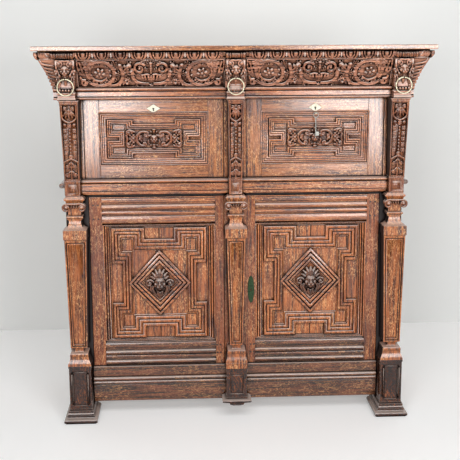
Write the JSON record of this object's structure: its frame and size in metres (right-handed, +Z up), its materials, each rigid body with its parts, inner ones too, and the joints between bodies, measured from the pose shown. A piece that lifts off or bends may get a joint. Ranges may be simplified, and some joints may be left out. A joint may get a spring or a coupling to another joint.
{
  "type": "court cupboard",
  "caption": "Carved oak court cupboard: canted frieze drawers over fall-front compartments and panelled doors between columns, on broad front feet, with drop rings.",
  "frame": {"origin": "on the floor, under the middle of the top board's bounding box", "axes": "+X to the right seen from the front, +Y towards the back, +Z up"},
  "size_m": [1.6, 0.58, 1.57],
  "materials": {
    "oak": "waxed",
    "dark_oak": "waxed",
    "plain_oak": "bare",
    "brass": "aged",
    "bronze": "dark patina",
    "iron": "blackened",
    "steel": "worn"
  },
  "bodies": {
    "carcase": {"top_board": "oak", "cornice": "dark_oak", "side_friezes": "dark_oak", "frieze_rail": "oak", "mid_rail": "oak", "bottom_rail": "oak", "left_front_post": "oak", "right_front_post": "oak", "rear_posts": "oak", "centre_stile": "oak", "side_rails": "oak", "side_panels": "oak", "belt_mouldings": "oak", "back_boards": "plain_oak", "carcase_boards": "plain_oak", "centre_partition": "plain_oak", "shelf": "plain_oak", "bearers": "plain_oak", "left_bracket": "dark_oak", "right_bracket": "dark_oak", "centre_bracket": "dark_oak", "ring_staples": "brass", "corner_pilasters": "oak", "centre_pilaster": "oak", "pilaster_blocks": "oak", "corner_columns": "oak", "corner_plinths": "dark_oak", "centre_plinth": "dark_oak", "front_feet": "dark_oak", "pivot_pins": "iron"},
    "left_door": {"left_door_frame": "oak", "left_door_panel": "oak", "left_door_carving": "oak", "left_door_bolt_plate": "iron"},
    "right_door": {"right_door_frame": "oak", "right_door_panel": "oak", "right_door_carving": "oak", "centre_column": "oak", "right_door_lock": "bronze"},
    "left_flap": {"left_flap_frame": "oak", "left_flap_panel": "oak", "left_flap_carving": "oak", "left_flap_lock": "brass"},
    "right_flap": {"right_flap_frame": "oak", "right_flap_panel": "oak", "right_flap_carving": "oak", "right_flap_lock": "brass"},
    "left_drawer": {"left_drawer_front": "dark_oak", "left_drawer_box": "plain_oak"},
    "right_drawer": {"right_drawer_front": "dark_oak", "right_drawer_box": "plain_oak"},
    "left_ring": {"left_ring": "brass"},
    "centre_ring": {"centre_ring": "brass"},
    "right_ring": {"right_ring": "brass"},
    "key": {"key": "steel"},
    "left_door_bolt": {"left_door_bolt": "iron"},
    "right_door_bolt": {"right_door_bolt": "iron"},
    "left_flap_bolt": {"left_flap_bolt": "iron"},
    "right_flap_bolt": {"right_flap_bolt": "iron"}
  },
  "joints": [
    {"name": "left_door_hinge", "type": "hinge", "parent": "carcase", "child": "left_door", "pos_m": [-0.599, -0.152, 0.5895], "axis": [0, 0, -1], "range_deg": [0, 90]},
    {"name": "right_door_hinge", "type": "hinge", "parent": "carcase", "child": "right_door", "pos_m": [0.599, -0.152, 0.5895], "axis": [0, 0, 1], "range_deg": [0, 90]},
    {"name": "left_flap_hinge", "type": "hinge", "parent": "carcase", "child": "left_flap", "pos_m": [-0.3325, -0.147, 1.04], "axis": [1, 0, 0], "range_deg": [0, 90]},
    {"name": "right_flap_hinge", "type": "hinge", "parent": "carcase", "child": "right_flap", "pos_m": [0.3325, -0.147, 1.04], "axis": [1, 0, 0], "range_deg": [0, 90]},
    {"name": "left_drawer_slide", "type": "slide", "parent": "carcase", "child": "left_drawer", "axis": [0, -1, 0], "range_m": [0, 0.3]},
    {"name": "right_drawer_slide", "type": "slide", "parent": "carcase", "child": "right_drawer", "axis": [0, -1, 0], "range_m": [0, 0.3]},
    {"name": "left_ring_swing", "type": "hinge", "parent": "carcase", "child": "left_ring", "pos_m": [-0.674, -0.262, 1.442], "axis": [-1, 0, 0], "range_deg": [0, 90]},
    {"name": "centre_ring_swing", "type": "hinge", "parent": "carcase", "child": "centre_ring", "pos_m": [0, -0.262, 1.442], "axis": [-1, 0, 0], "range_deg": [0, 90]},
    {"name": "right_ring_swing", "type": "hinge", "parent": "carcase", "child": "right_ring", "pos_m": [0.674, -0.262, 1.442], "axis": [-1, 0, 0], "range_deg": [0, 90]},
    {"name": "key_swing", "type": "hinge", "parent": "right_flap", "child": "key", "pos_m": [0.3325, -0.175, 1.295], "axis": [0, 1, 0], "range_deg": [-40, 40]},
    {"name": "left_door_bolt_slide", "type": "slide", "parent": "left_door", "child": "left_door_bolt", "axis": [0, 0, 1], "range_m": [0, 0.012]},
    {"name": "right_door_bolt_slide", "type": "slide", "parent": "right_door", "child": "right_door_bolt", "axis": [-1, 0, 0], "range_m": [0, 0.014]},
    {"name": "left_flap_bolt_slide", "type": "slide", "parent": "left_flap", "child": "left_flap_bolt", "axis": [0, 0, 1], "range_m": [0, 0.01]},
    {"name": "right_flap_bolt_slide", "type": "slide", "parent": "right_flap", "child": "right_flap_bolt", "axis": [0, 0, 1], "range_m": [0, 0.01]}
  ]
}
